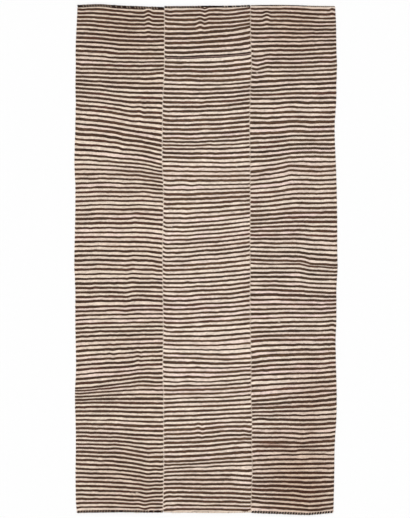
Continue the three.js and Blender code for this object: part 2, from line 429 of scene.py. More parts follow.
def spun(tree, tint, along, pick, unevenness):
    """What the handspun wool makes of a colour."""
    inputs = {"Colour": tint, "Along": along, "Pick": pick, "Unevenness": unevenness}
    return put(tree, "ShaderNodeGroup", inputs, node_tree=handspun).outputs


def panel_material(name, weave):
    """Brown and ivory wefts of one panel. The weave map holds metres across and stripes along."""
    browns, ivories = ([colour(*tone) for tone in weave[wool]] for wool in ("browns", "ivories"))
    material, tree, shader = matt_material(name, roughness=0.92, specular=0.15)
    shader.inputs["Sheen Weight"].default_value = 0.08
    shader.inputs["Sheen Roughness"].default_value = 0.6
    weave_map = put(tree, "ShaderNodeUVMap", uv_map="weave").outputs[0]
    parts = put(tree, "ShaderNodeSeparateXYZ", (weave_map,))
    across, stripe = parts.outputs[0], parts.outputs[1]
    dull, seam, hazy = (read(tree, label) for label in ("dull", "from_seam", "hazy"))

    ragged = cloth_noise(tree, across, stripe, (70.0, 4.0), 2.0, 0.6)
    place = maths(tree, "ADD", stripe, maths(tree, "MULTIPLY_ADD", ragged, RAGGED, -RAGGED / 2))
    from_middle = maths(tree, "WRAP", maths(tree, "SUBTRACT", place, HALF_BROWN), 0.5, -0.5)
    from_middle = maths(tree, "ABSOLUTE", from_middle)
    from_middle = maths(tree, "ADD", from_middle, ramp(tree, seam, 0.0, 5.0, 0.07, 0.0))
    brown_share = ramp(tree, from_middle, HALF_BROWN - SOFT_EDGE, HALF_BROWN + SOFT_EDGE, 1.0, 0.0)

    band = maths(tree, "FLOOR", scaled(tree, stripe, 2.0))
    chance = put(tree, "ShaderNodeTexWhiteNoise", {"W": band}, noise_dimensions="1D")
    chances = put(tree, "ShaderNodeSeparateColor", (chance.outputs["Color"],)).outputs
    patches = cloth_noise(tree, across, band, (6.0, 7.3), 1.0, 0.5)
    paler = scaled(tree, chances[0], 0.6)
    paler = maths(tree, "ADD", paler, ramp(tree, patches, 0.3, 0.7, 0.0, 0.4))
    redder = scaled(tree, chances[1], 0.5)
    redder = maths(tree, "ADD", redder, ramp(tree, patches, 0.3, 0.7, 0.5, 0.0))

    brown = mixed(tree, paler, browns[0], browns[1])
    brown = mixed(tree, ramp(tree, redder, 0.55, 0.95, 0.0, 0.7), brown, browns[2])
    brown = mixed(tree, dull, brown, DULL_BROWN)
    for doubled in weave["double"]:
        off_line = maths(tree, "ABSOLUTE", maths(tree, "SUBTRACT", stripe, doubled + DOUBLED_MIDDLE))
        brown = mixed(tree, ramp(tree, off_line, 0.3, 0.4, 0.7, 0.0), brown, DOUBLED_DARK)
        brown = mixed(tree, ramp(tree, off_line, 0.03, 0.07, 0.62, 0.0), brown, DOUBLED_PALE)
    ivory = mixed(tree, paler, ivories[0], ivories[1])
    ivory = mixed(tree, ramp(tree, redder, 0.55, 0.95, 0.0, 0.8), ivory, ivories[2])
    ivory = mixed(tree, dull, ivory, ivories[3])
    ivory = mixed(tree, hazy, ivory, HAZE)

    pick = scaled(tree, place, PICKS_A_STRIPE)
    clouds = cloth_noise(tree, across, stripe, (45.0, 2.6), 3.0, 0.65, 5.5)
    wools = []
    for tint, unevenness, depth in ((brown, 0.6, BROWN_WOOL_CLOUDS), (ivory, 0.25, IVORY_WOOL_CLOUDS)):
        cloudy = brightened(tree, tint, maths(tree, "MULTIPLY_ADD", clouds, depth, 1 - depth / 2))
        wools.append(spun(tree, cloudy, across, pick, unevenness))
    brown_wool, ivory_wool = wools
    cloth = mixed(tree, brown_share, ivory_wool["Colour"], brown_wool["Colour"])
    frayed = cloth_noise(tree, across, stripe, (300.0, 9.0), 2.0, 0.6)
    seam_reach = maths(tree, "ADD", seam, maths(tree, "MULTIPLY_ADD", frayed, 6.0, -3.0))
    cloth = mixed(tree, ramp(tree, seam_reach, 0.0, 2.0, 0.3, 0.0), cloth, ivories[1])
    tree.links.new(cloth, shader.inputs["Base Color"])

    warp = maths(tree, "DIVIDE", across, WARP_SPACING)
    inputs = {"Warp": warp, "Pick": pick}
    woven = put(tree, "ShaderNodeGroup", inputs, node_tree=plain_weave).outputs[0]
    relief = maths(tree, "MULTIPLY_ADD", ivory_wool["Thickness"], 0.5, woven)
    raise_surface(tree, shader, relief, strength=0.85, distance=0.0011)
    return material


def weft_rows(bounds, near_end, far_end, shares, first, last):
    """The rows of points, which follow the wefts: place along the rug, and stripes down it."""
    ends = [
        np.interp(shares, (end[:, 0] - end[0, 0]) / np.ptp(end[:, 0]), end[:, 1])
        for end in (far_end, near_end)
    ]
    marks = np.arange(len(bounds)) / 2 - 1
    inner_marks = first + np.arange(round((last - first) * ROWS_A_STRIPE) + 1) / ROWS_A_STRIPE
    inner_rows = np.array([np.interp(inner_marks, marks, column) for column in bounds.T]).T
    end_marks = [
        [np.interp(-place, -column, marks) for place, column in zip(end, bounds.T)] for end in ends
    ]
    inner_stripes = np.repeat(inner_marks[:, None], len(shares), 1)
    y = np.concatenate((ends[:1], inner_rows, ends[1:]))
    return y, np.concatenate((end_marks[:1], inner_stripes, end_marks[1:]))


def skin_faces(rows, columns):
    """Quads of an upper and an under grid of points, joined round the rim."""
    shift = rows * columns
    grid = np.arange(shift).reshape(rows, columns)
    under = grid + shift
    top_faces = np.stack((grid[:-1, :-1], grid[1:, :-1], grid[1:, 1:], grid[:-1, 1:]), -1)
    under_faces = np.stack((under[:-1, :-1], under[:-1, 1:], under[1:, 1:], under[1:, :-1]), -1)
    rim = np.concatenate((grid[0, :], grid[1:, -1], grid[-1, -2::-1], grid[-2:0:-1, 0]))
    onward = np.roll(rim, -1)
    rim_faces = np.stack((rim, onward, onward + shift, rim + shift), -1)
    return np.concatenate((top_faces.reshape(-1, 4), under_faces.reshape(-1, 4), rim_faces))


def panel_piece(label, weave, first, last, seams, seed):
    """One woven panel with two faces. Its first and last rows of cloth are counted in stripes."""
    node = "panel_" + label
    edges, near_end, far_end = panel_outline(node)
    width = np.ptp(near_end[:, 0])
    inside = np.array(EDGE_COLUMNS) / width
    field = np.linspace(inside[-1], 1 - inside[-1], FIELD_STEPS + 1)[1:-1]
    shares = np.concatenate((inside, field, 1 - inside[::-1]))
    bounds = stripe_edges(weave, edges, shares, width, seed)
    y, stripe = weft_rows(bounds, near_end, far_end, shares, first, last)
    rng = np.random.default_rng(seed + 1)

    left, right = (smooth_through(ys, xs, y) for ys, xs in edges)
    x = left + shares * (right - left)
    from_left, from_right = x - left, right - x
    turn = np.abs(np.sin(2 * np.pi * stripe))
    turn = turn * (1 + TURN_DRIFT * wander(rng, *x.shape, 3, ALL_ACROSS))
    for from_edge, outward, at_seam in ((from_left, -1, seams[0]), (from_right, 1, seams[1])):
        level, depth = SEAM_SCALLOP if at_seam else OUTER_SCALLOP
        near_edge = 1 - smooth_step(from_edge, 0, SELVEDGE_WIDTH)
        x = x + outward * (turn - level) * depth * near_edge

    from_edge = np.minimum(from_left, from_right)
    corded = RIM + (SELVEDGE - RIM) * np.minimum(from_edge / SELVEDGE_WIDTH, 1)
    fade = smooth_step(from_edge, SELVEDGE_WIDTH, SELVEDGE_FADE)
    lift = cloth_lift(x, y)
    crown = BAND_CROWN * (turn - 0.5) * smooth_step(from_edge, 0, SELVEDGE_WIDTH)
    upper = corded * (1 - fade) + CLOTH * fade + lift + crown
    upper = upper + SURFACE_DRIFT * wander(rng, *x.shape, 4, 3)
    heights = np.concatenate((upper, lift + UNDER_AIR))
    points = np.stack((np.tile(x, (2, 1)), np.tile(y, (2, 1)), heights), -1)
    faces = skin_faces(*x.shape)

    mesh = bpy.data.meshes.new(node + "_cloth")
    mesh.from_pydata((points.reshape(-1, 3) * MM).tolist(), [], faces.tolist())
    corners = np.empty(len(mesh.loops), int)
    mesh.loops.foreach_get("vertex_index", corners)
    weave_map = np.stack((np.tile(shares * width * MM, (len(x), 1)), stripe), -1).reshape(-1, 2)
    weave_map = np.tile(weave_map, (2, 1))[corners]
    for map_name, places in (("weave", weave_map), ("OFBake", bake_map(faces, len(x), shares))):
        mesh.uv_layers.new(name=map_name).data.foreach_set("uv", places.ravel())
    dull = np.clip(soft_spots(DULL_PLACES, x, y), 0, 1)
    hazy = np.clip(soft_spots(HAZY_PLACES, x, y), 0, 1)
    from_seam = np.minimum.reduce([gap for gap, at_seam in zip((from_left, from_right), seams) if at_seam])
    for value_name, values in (("dull", dull), ("from_seam", from_seam), ("hazy", hazy)):
        attribute = mesh.attributes.new(value_name, "FLOAT", "POINT")
        attribute.data.foreach_set("value", np.tile(values.ravel(), 2))
    mesh.shade_smooth()
    mesh.set_sharp_from_angle(angle=SHARP_ANGLE)
    mesh.materials.append(panel_material(label + "_panel_wool", weave))
    piece = placed(node + "_cloth", mesh)
    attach(piece, "root")
    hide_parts(node)
    return piece


# Left panel
# Darker and more crowded at the far end. Its wefts slope down to the seam along a third of its
# length, and are pinched together at one place on the outer selvedge.

# The chart's columns are the stripe's number, then its place along the rug at the five marks,
# which are distances from the panel's left edge. The first and last lines are the overcast ends.
# In the weave, browns are the darkest, palest and reddest wool, and ivories the palest, greyest,
# pinkest and dullest. Widths, and pulls at the left and right edge, are pairs of a stripe and
# millimetres. Bumps and creases are place, reach across and along, and rise or drop. Edge_brown is
# how much wider the brown is at the left and right edge, and the other lists are odd stripes.
left_chart = (
    (0, 1645, 1648, 1638, 1633, 1629),
    (1, 1625, 1624, 1613, 1603, 1599),
    (5, 1527, 1518, 1506, 1500, 1500),
    (9, 1414, 1410, 1397, 1392, 1395),
    (12, 1329, 1320, 1311, 1309, 1310),
    (16, 1215, 1211, 1206, 1206, 1211),
    (20, 1114, 1105, 1090, 1083, 1081),
    (25, 979, 966, 947, 928, 920),
    (29, 851, 839, 820, 796, 774),
    (34, 681, 674, 658, 647, 621),
    (38, 554, 556, 552, 544, 528),
    (42, 435, 439, 439, 440, 431),
    (46, 321, 328, 325, 329, 321),
    (54, 86, 88, 85, 85, 75),
    (58, -35, -32, -37, -35, -45),
    (62, -156, -154, -153, -151, -152),
    (66, -275, -268, -268, -262, -267),
    (67, -310, -304, -302, -298, -300),
    (74, -504, -496, -492, -488, -486),
    (82, -747, -735, -728, -713, -707),
    (85, -834, -826, -808, -795, -795),
    (87, -869, -862, -852, -846, -846),
    (90, -933, -929, -930, -932, -933),
    (97, -1123, -1126, -1131, -1140, -1142),
    (101, -1223, -1226, -1230, -1246, -1253),
    (104, -1299, -1305, -1313, -1330, -1343),
    (112, -1526, -1529, -1531, -1541, -1540),
    (116, -1637, -1632, -1632, -1634, -1635),
)
left_weave = {
    "browns": ((62, 42, 29), (86, 61, 45), (87, 54, 42)),
    "ivories": ((245, 227, 207), (230, 208, 191), (244, 219, 207), (207, 181, 158)),
    "marks": (10, 146, 283, 419, 549),
    "chart": left_chart,
    "widths": (
        (0, 18.6), (12, 17.2), (20, 17.4), (28, 17.0), (34, 15.4), (45, 15.4), (54, 16.2),
        (66, 15.9), (80, 15.6), (88, 16.4), (104, 15.9), (116, 15.0),
    ),
    "edge_brown": (0.07, 0.0),
    "heavy": (8, 11, 14, 19, 25, 27, 29, 30, 46, 62, 77, 89, 95, 102, 103, 110),
    "thin": (13, 20, 23, 36, 43, 45, 51, 60, 70, 82, 86, 87, 94, 100, 115),
    "double": (),
    "bumps": (
        (-374, 1650, 34, 290, 13),
        (-399, -1650, 46, 230, -8),
        (-376, -1370, 62, 290, -6),
        (-345, -60, 40, 160, 3),
        (-463, 262, 30, 62, 4),
        (-485, 985, 85, 190, -3),
        (-434, 970, 24, 130, 3),
        (-400, 970, 24, 130, -3.5),
        (-446, -620, 24, 110, 3.5),
        (-420, -620, 24, 110, -3),
        (-630, -590, 28, 110, 2.5),
        (-600, -590, 28, 110, -2.5),
    ),
    "creases": ((-497, -165, 62, 330, -9), (-560, 760, 60, 120, 6)),
    "pulls": (((0, 0), (116, 0)), ((0, -0.5), (60, -1), (95, 0), (105, 3), (116, 5))),
}

left_panel = panel_piece(
    "left", left_weave, first=2 / 6, last=115 + 5 / 6, seams=(False, True), seed=11
)

# Middle panel
# Its stripes are thinnest in the middle of the rug, and two picks of brown run into one double
# stripe near the far end. Its near end is bound in pale yarn, below the last brown stripe.
middle_chart = (
    (0, 1640, 1639, 1642, 1645, 1649),
    (1, 1612, 1615, 1620, 1620, 1630),
    (4, 1533, 1527, 1537, 1540, 1554),
    (6, 1466, 1469, 1478, 1487, 1506),
    (11, 1315, 1314, 1320, 1326, 1339),
    (12, 1282, 1280, 1282, 1291, 1305),
    (16, 1168, 1164, 1163, 1165, 1174),
    (22, 993, 992, 996, 1003, 1015),
    (29, 789, 787, 790, 797, 807),
    (32, 721, 718, 718, 721, 730),
    (35, 638, 632, 631, 630, 637),
    (39, 515, 516, 513, 515, 517),
    (42, 424, 425, 428, 434, 439),
    (48, 237, 239, 247, 258, 273),
    (56, 17, 22, 32, 42, 58),
    (60, -97, -94, -86, -79, -66),
    (65, -236, -237, -229, -222, -207),
    (72, -440, -440, -432, -426, -416),
    (75, -525, -528, -528, -522, -509),
    (79, -637, -639, -644, -647, -642),
    (84, -793, -793, -793, -785, -774),
    (89, -930, -924, -921, -917, -907),
    (96, -1134, -1131, -1125, -1113, -1114),
    (99, -1220, -1215, -1209, -1194, -1189),
    (102, -1311, -1308, -1299, -1289, -1283),
    (104, -1356, -1351, -1347, -1339, -1334),
    (106, -1402, -1401, -1402, -1399, -1406),
    (111, -1538, -1538, -1544, -1546, -1552),
    (114, -1623, -1621, -1623, -1625, -1626),
)
middle_weave = {
    "browns": ((67, 48, 35), (94, 69, 51), (91, 60, 47)),
    "ivories": ((249, 232, 214), (234, 213, 198), (247, 223, 213), (209, 185, 163)),
    "marks": (18, 148, 285, 421, 551),
    "chart": middle_chart,
    "widths": (
        (0, 20.4), (6, 19.9), (14, 19.8), (22, 18.0), (30, 17.5), (40, 16.0), (50, 14.3),
        (60, 15.2), (69, 15.6), (78, 15.0), (87, 15.2), (100, 17.0), (114, 17.2),
    ),
    "edge_brown": (0.05, 0.04),
    "heavy": (6, 8, 25, 34, 42, 43, 80, 95, 98, 107, 114),
    "thin": (12, 17, 24, 30, 31, 32, 35, 37, 40, 41, 77, 81, 84, 88, 103, 104, 113),
    "double": (11,),
    "bumps": (
        (-38, 1532, 34, 80, 8),
        (-7, 1640, 34, 230, -9),
        (-225, 1615, 32, 34, -3),
        (-150, 1615, 32, 34, -3),
        (-234, 500, 44, 60, -2.5),
        (-150, 500, 44, 60, 2.5),
        (-85, 500, 40, 60, -3),
        (26, 745, 34, 50, 4),
        (250, -1120, 36, 100, 5),
        (-52, -1110, 26, 100, 4),
        (-22, -1110, 26, 100, -3.5),
    ),
    "creases": ((-150, 300, 60, 200, 5),),
    "pulls": (
        ((0, 3), (30, 2), (50, 5), (75, 4), (90, -1), (100, -4), (114, -5)),
        ((0, 2), (15, 2.5), (25, 0.5), (114, 0.5)),
    ),
}

middle_panel = panel_piece(
    "middle", middle_weave, first=4 / 6, last=114 + 2 / 6, seams=(True, True), seed=23
)

# Right panel
# The heaviest stripes of the three, browner and duller towards the near end, where the outer
# corner has taken on a tan cast. Its wefts step down sharply along a fold in the middle.
right_chart = (
    (0, 1654, 1655, 1655, 1648, 1650),
    (3, 1578, 1579, 1576, 1569, 1568),
    (9, 1415, 1418, 1416, 1421, 1424),
    (12, 1318, 1331, 1331, 1337, 1345),
    (17, 1185, 1193, 1196, 1200, 1208),
    (19, 1119, 1129, 1139, 1142, 1147),
    (22, 1044, 1047, 1052, 1051, 1052),
    (27, 889, 890, 897, 894, 897),
    (29, 819, 823, 835, 831, 833),
    (35, 636, 647, 664, 669, 667),
    (37, 571, 588, 607, 603, 609),
    (42, 433, 441, 460, 460, 463),
    (48, 257, 265, 274, 275, 277),
    (53, 135, 135, 135, 127, 121),
    (58, 0, -5, -10, -27, -36),
    (59, -25, -29, -32, -45, -55),
    (61, -85, -84, -85, -97, -103),
    (65, -196, -197, -202, -210, -216),
    (69, -323, -321, -320, -319, -315),
    (73, -442, -438, -432, -432, -425),
    (76, -530, -522, -521, -522, -519),
    (80, -669, -654, -649, -646, -638),
    (83, -752, -744, -740, -737, -728),
    (87, -889, -877, -868, -858, -847),
    (88, -918, -907, -896, -889, -872),
    (93, -1039, -1039, -1041, -1040, -1034),
    (98, -1184, -1186, -1188, -1186, -1175),
    (101, -1276, -1270, -1266, -1264, -1266),
    (103, -1334, -1329, -1328, -1326, -1322),
    (105, -1388, -1386, -1383, -1386, -1385),
    (112, -1572, -1583, -1591, -1598, -1585),
    (114, -1640, -1642, -1648, -1651, -1639),
)
right_weave = {
    "browns": ((61, 43, 30), (88, 64, 47), (91, 58, 45)),
    "ivories": ((245, 228, 210), (230, 208, 194), (245, 219, 210), (209, 181, 157)),
    "marks": (15, 145, 275, 405, 535),
    "chart": right_chart,
    "widths": (
        (0, 15.8), (8, 17.4), (24, 17.9), (33, 17.1), (42, 17.1), (50, 16.1), (60, 16.4),
        (72, 16.5), (87, 17.7), (97, 16.7), (107, 17.4), (114, 17.6),
    ),
    "edge_brown": (0.0, 0.05),
    "heavy": (4, 6, 10, 17, 27, 37, 47, 49, 66, 79, 86, 90, 94, 98, 108, 109, 111),
    "thin": (9, 16, 24, 36, 39, 41, 59, 63, 71, 92, 95, 101, 104),
    "double": (),
    "bumps": (
        (393, 1578, 32, 76, 10),
        (818, 1620, 22, 52, 7),
        (397, 1270, 48, 160, 6),
        (330, 1225, 30, 115, -3),
        (367, -1042, 46, 30, 5),
        (545, 570, 60, 150, 5),
        (650, -1500, 120, 170, -4),
        (505, -1150, 54, 70, 3),
        (625, -1170, 60, 70, -5),
        (815, -440, 26, 60, 4),
    ),
    "creases": ((640, -20, 96, 260, 8.5), (610, -1490, 60, 130, 2)),
    "pulls": (
        ((0, 2), (10, 2), (14, 4), (20, 3), (28, 0), (114, 0)),
        ((0, 1), (70, 1), (73, -6), (76, -4), (80, 1), (114, 1)),
    ),
}

right_panel = panel_piece(
    "right", right_weave, first=4 / 6, last=113 + 4 / 6, seams=(True, False), seed=37
)

# Lacing of the two seams
# The selvedges are laced edge to edge with one ply of ivory wool, over and under in slanting
# stitches about a centimetre apart.
STITCH_PITCH, STITCH_REACH, STITCH_RISE = 9.5, 4.8, 1.7
STITCH_FOOT, STITCH_RADIUS = 2.6, 1.05
# Where the lacing starts and stops short of the ends of the cloth, and how often its path turns.
LACING_START, LACING_STOP, LACING_STEP = 5, 4, 15.0


def growth_group(name, **numbers):
    """A group that grows yarn on a path. Its numbers, a seed and a material are named inputs."""
    inputs = [("Path", "NodeSocketGeometry", None)]
    inputs += [(label.replace("_", " "), "NodeSocketFloat", value) for label, value in numbers.items()]
    inputs += [("Seed", "NodeSocketInt", 0), ("Material", "NodeSocketMaterial", None)]
    return open_group(name, inputs, (("Grown", "NodeSocketGeometry"),), "GeometryNodeTree")


def marked(tree, geometry, name, value, domain="POINT"):
    """Keeps a value on the geometry under a name that the material reads."""
    inputs = {"Geometry": geometry, "Name": name, "Value": value}
    return put(tree, "GeometryNodeStoreNamedAttribute", inputs, data_type="FLOAT", domain=domain).outputs[0]


def random_value(tree, middle, spread, seed, offset):
    """A number within the spread to each side of the middle, another at each point."""
    inputs = {2: -1.0, 3: 1.0, "Seed": maths(tree, "ADD", seed, offset * 100.0)}
    chance = put(tree, "FunctionNodeRandomValue", inputs, data_type="FLOAT").outputs[1]
    return maths(tree, "MULTIPLY_ADD", chance, spread, middle)


def even_points(tree, path, pitch):
    """Points at an even pitch along a path."""
    inputs = {"Curve": path, "Length": pitch}
    return put(tree, "GeometryNodeResampleCurve", inputs, mode="LENGTH").outputs[0]


def circle(tree, sides, radius):
    return put(tree, "GeometryNodeCurvePrimitiveCircle", {"Resolution": sides, "Radius": radius}).outputs[0]


def swept(tree, line, section, capped):
    inputs = {"Curve": line, "Profile Curve": section, "Fill Caps": capped}
    return put(tree, "GeometryNodeCurveToMesh", inputs).outputs[0]


def yarn_on(tree, line, sides, radius, capped):
    """Yarn along a line. It keeps its length along it and the share of the way round it."""
    line = marked(tree, line, "along", put(tree, "GeometryNodeSplineParameter").outputs["Length"])
    turn = put(tree, "GeometryNodeSplineParameter").outputs["Factor"]
    return swept(tree, line, marked(tree, circle(tree, sides, radius), "round", turn), capped)


def bent_yarn(tree, steps, sides, radius, **corners):
    """A short piece of yarn that bends from its start over its middle to its end."""
    inputs = {"Resolution": steps} | corners
    bend = put(tree, "GeometryNodeCurveQuadraticBezier", inputs).outputs[0]
    return yarn_on(tree, bend, sides, radius, True)


def copies_at(tree, points, yarn, turn, scale, seed):
    """The yarn at each point, turned and scaled, each time with a tone of its own."""
    inputs = {"Points": points, "Instance": yarn, "Rotation": vector(tree, z=turn), "Scale": scale}
    copies = put(tree, "GeometryNodeInstanceOnPoints", inputs).outputs[0]
    return marked(tree, copies, "tone", random_value(tree, 0.5, 0.5, seed, 3), "INSTANCE")


def finish_tree(tree, instances, material, outer):
    """Makes the copies real, gives them their material and hands back the whole tree."""
    real = put(tree, "GeometryNodeRealizeInstances", (instances,)).outputs[0]
    smooth = put(tree, "GeometryNodeSetShadeSmooth", {"Geometry": real, "Shade Smooth": True})
    inputs = {"Geometry": smooth.outputs[0], "Material": material}
    finished = put(tree, "GeometryNodeSetMaterial", inputs)
    tree.links.new(finished.outputs[0], outer.inputs[0])
    return tree


def lacing_tree():
    """Slanting stitches at an even pitch along a path, each a short arch of yarn."""
    tree, inner, outer = growth_group(
        "lacing_stitches", Pitch=0.01, Reach=0.005, Rise=0.002, Yarn_radius=0.001, Slant=0.0
    )
    get = inner.outputs
    path = put(tree, "GeometryNodeMeshToCurve", (get["Path"],)).outputs[0]
    stitch = bent_yarn(
        tree, 6, 6, get["Yarn radius"],
        Start=vector(tree, scaled(tree, get["Reach"], -1.0)),
        Middle=vector(tree, z=scaled(tree, get["Rise"], 2.0)),
        End=vector(tree, get["Reach"]),
    )
    turn = random_value(tree, get["Slant"], 0.22, get["Seed"], 1)
    size = random_value(tree, 1.0, 0.16, get["Seed"], 2)
    points = even_points(tree, path, get["Pitch"])
    stitches = copies_at(tree, points, stitch, turn, vector(tree, size, 1.0, size), get["Seed"])
    return finish_tree(tree, stitches, get["Material"], outer)


def grown_along(name, points, tree, settings, marks=None):
    """Runs a tree along a path of points in millimetres and keeps the result as a plain mesh."""
    path = bpy.data.meshes.new(name + "_path")
    links = [(i, i + 1) for i in range(len(points) - 1)]
    path.from_pydata((np.asarray(points) * MM).tolist(), links, [])
    if marks is not None:
        path.attributes.new("marks", "FLOAT", "POINT").data.foreach_set("value", marks)
    piece = placed(name, path)
    modifier = piece.modifiers.new("growth", "NODES")
    modifier.node_group = tree
    for item in tree.interface.items_tree:
        if item.in_out == "INPUT" and item.name in settings:
            modifier[item.identifier] = settings[item.name]
    graph = bpy.context.evaluated_depsgraph_get()
    grown = bpy.data.meshes.new_from_object(piece.evaluated_get(graph))
    piece.modifiers.remove(modifier)
    piece.data = grown
    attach(piece, "root")
    return piece


TWISTS_A_METRE = 260.0
PLIES = 2.0


def yarn_material(name, low, high, pale=None):
    """Loosely plied wool yarn. Its tone differs from one stitch or wrap to the next."""
    material, tree, shader = matt_material(name, roughness=0.95, specular=0.12)
    tone, along, turn = (read(tree, label) for label in ("tone", "along", "round"))
    tint = mixed(tree, tone, colour(*low), colour(*high))
    if pale is not None:
        tint = mixed(tree, read(tree, "pale"), tint, colour(*pale))
    wool = spun(tree, tint, maths(tree, "MULTIPLY_ADD", tone, 5.0, along), scaled(tree, turn, 3.0), 0.35)
    tree.links.new(wool["Colour"], shader.inputs["Base Color"])
    twist = maths(tree, "MULTIPLY_ADD", along, TWISTS_A_METRE, scaled(tree, turn, PLIES))
    raise_surface(tree, shader, maths(tree, "PINGPONG", twist, 0.5), strength=0.5, distance=0.0006)
    return material


ivory_yarn = yarn_material("ivory_lacing_yarn", (232, 216, 196), (248, 236, 220))
worn_yarn = yarn_material("worn_lacing_yarn", (188, 170, 150), (216, 200, 180))
lacing = lacing_tree()
panel_edges = {label: panel_outline("panel_" + label)[0] for label in ("left", "middle", "right")}

for name, one_side, other_side, yarn, slant, seed in (
    ("seam_lacing_left", "left", "middle", ivory_yarn, -0.62, 5),
    ("seam_lacing_right", "middle", "right", worn_yarn, -0.55, 9),
):
    one_ys, one_xs = panel_edges[one_side][1]
    other_ys, other_xs = panel_edges[other_side][0]
    near_y = max(one_ys[0], other_ys[0]) + LACING_START
    far_y = min(one_ys[-1], other_ys[-1]) - LACING_STOP
    seam_y = np.arange(near_y, far_y, LACING_STEP)
    seam_x = (smooth_through(one_ys, one_xs, seam_y) + smooth_through(other_ys, other_xs, seam_y)) / 2
    seam_z = STITCH_FOOT + cloth_lift(seam_x, seam_y)
    settings = {
        "Pitch": STITCH_PITCH * MM, "Reach": STITCH_REACH * MM, "Rise": STITCH_RISE * MM,
        "Yarn radius": STITCH_RADIUS * MM, "Slant": slant, "Seed": seed, "Material": yarn,
    }
    seam = grown_along(name, np.stack((seam_x, seam_y, seam_z), -1), lacing, settings)

# Overcast edgings
# Each raw end is bound by wrapping handspun yarn round and round the last picks, so the wraps
# stand side by side like a lumpy cord. The dark ones show pale yarn here and there.
WRAP_PITCH = 4.4
# The flat foot of an edging's solid as a share of its width, and how many points its path has.
FOOT_SHARE = 0.6
PATH_POINTS = 60


def path_marks(tree):
    """The marks that the points of a path carry."""
    return put(tree, "GeometryNodeInputNamedAttribute", {"Name": "marks"}, data_type="FLOAT").outputs[0]


def edging_tree():
    """Wraps of yarn round a straight core along a path. Some are pale where the path is marked."""
    tree, inner, outer = growth_group(
        "overcast_wraps",
        Pitch=0.0044, Width=0.012, Height=0.006, Yarn_radius=0.001, Slant=0.3, Pale_every=3.0,
    )
    get = inner.outputs
    path = put(tree, "GeometryNodeMeshToCurve", (get["Path"],)).outputs[0]
    inset = scaled(tree, get["Yarn radius"], -1.0)
    tall = maths(tree, "MULTIPLY_ADD", get["Height"], 0.5, inset)
    wide = maths(tree, "MULTIPLY_ADD", get["Width"], 0.5, inset)
    upright = {"Rotation": (0.0, math.pi / 2, 0.0), "Scale": vector(tree, tall, wide, 1.0)}
    ring = put(tree, "GeometryNodeTransform", {"Geometry": circle(tree, 11, 1.0)} | upright).outputs[0]
    wrap = yarn_on(tree, ring, 5, get["Yarn radius"], False)
    turn = random_value(tree, get["Slant"], 0.16, get["Seed"], 1)
    swell = random_value(tree, 1.0, 0.18, get["Seed"], 2)
    points = even_points(tree, path, get["Pitch"])
    wraps = copies_at(tree, points, wrap, turn, vector(tree, 1.25, swell, 1.0), get["Seed"])

    order = put(tree, "GeometryNodeInputIndex").outputs[0]
    rest = maths(tree, "MODULO", order, get["Pale every"])
    marks = path_marks(tree)
    how_many = maths(tree, "MAXIMUM", scaled(tree, marks, 0.9), 0.9)
    chosen = scaled(tree, maths(tree, "LESS_THAN", rest, how_many), marks)
    chance = random_value(tree, 0.5, 0.5, get["Seed"], 4)
    wraps = marked(tree, wraps, "pale", maths(tree, "LESS_THAN", chance, chosen), "INSTANCE")

    flat = {"Geometry": circle(tree, 6, 1.0), "Scale": vector(tree, wide, tall, 1.0)}
    core = swept(tree, path, put(tree, "GeometryNodeTransform", flat).outputs[0], True)
    joined = put(tree, "GeometryNodeJoinGeometry")
    for geometry in (wraps, core):
        tree.links.new(geometry, joined.inputs[0])
    return finish_tree(tree, joined.outputs[0], get["Material"], outer)


def spans(x, ranges):
    """The share of the last range that holds each x, and none outside them all."""
    shares = np.zeros_like(x)
    for start, stop, share in ranges:
        shares = np.where((x > start) & (x < stop), share, shares)
    return shares


# Columns: kind, darkest and lightest tone, and the tone of the odd wraps.
edging_yarns = {
    kind: yarn_material(kind + "_edging_yarn", low, high, odd)
    for kind, low, high, odd in (
        ("dark", (26, 17, 14), (62, 43, 35), (190, 166, 148)),
        ("flecked", (24, 15, 12), (50, 34, 28), (212, 189, 170)),
        ("grey", (40, 28, 24), (76, 58, 50), (190, 172, 154)),
        ("pale", (212, 194, 176), (236, 220, 204), (132, 114, 102)),
    )
}
overcast = edging_tree()

# Columns: name, yarn, record slot, wraps to a pale one, yarn radius, overlap, proud, slant, seed,
# pale stretches. The overlap is how far the wraps reach in over the cloth, and proud how far they
# stand out past the edging's core. A pale stretch gives the chance that its turn brings a pale
# wrap, and 2 makes two wraps in every turn pale.
edging_table = (
    (
        "top_left", "dark", "dark_yarn", 4, 1.7, 5.8, 1.0, 0.35, 41,
        ((-850, -250, 0.3), (-795, -648, 0.9), (-560, -510, 0.5), (-441, -376, 1.0), (-360, -300, 0.8)),
    ),
    (
        "top_middle", "flecked", "dark_yarn", 4, 1.6, 3.8, 0.0, 0.3, 42,
        ((-262, -15, 1.0), (-15, 215, 0.1), (215, 275, 1.0)),
    ),
    (
        "top_right", "grey", "grey_yarn", 3, 1.25, 1.0, 0.0, 0.25, 43,
        ((290, 335, 0.9), (425, 535, 0.95), (655, 850, 2.0)),
    ),
    (
        "bottom_left", "dark", "dark_yarn", 4, 1.7, 6.6, 1.0, -0.3, 44,
        ((-860, -250, 0.15), (-838, -435, 0.8)),
    ),
    ("bottom_middle", "pale", "pale_yarn", 6, 1.25, 1.0, 1.2, -0.25, 45, ((-270, 290, 0.3),)),
    ("bottom_right", "flecked", "dark_yarn", 4, 1.7, 5.4, 1.0, -0.35, 46, ((290, 860, 1.0),)),
)
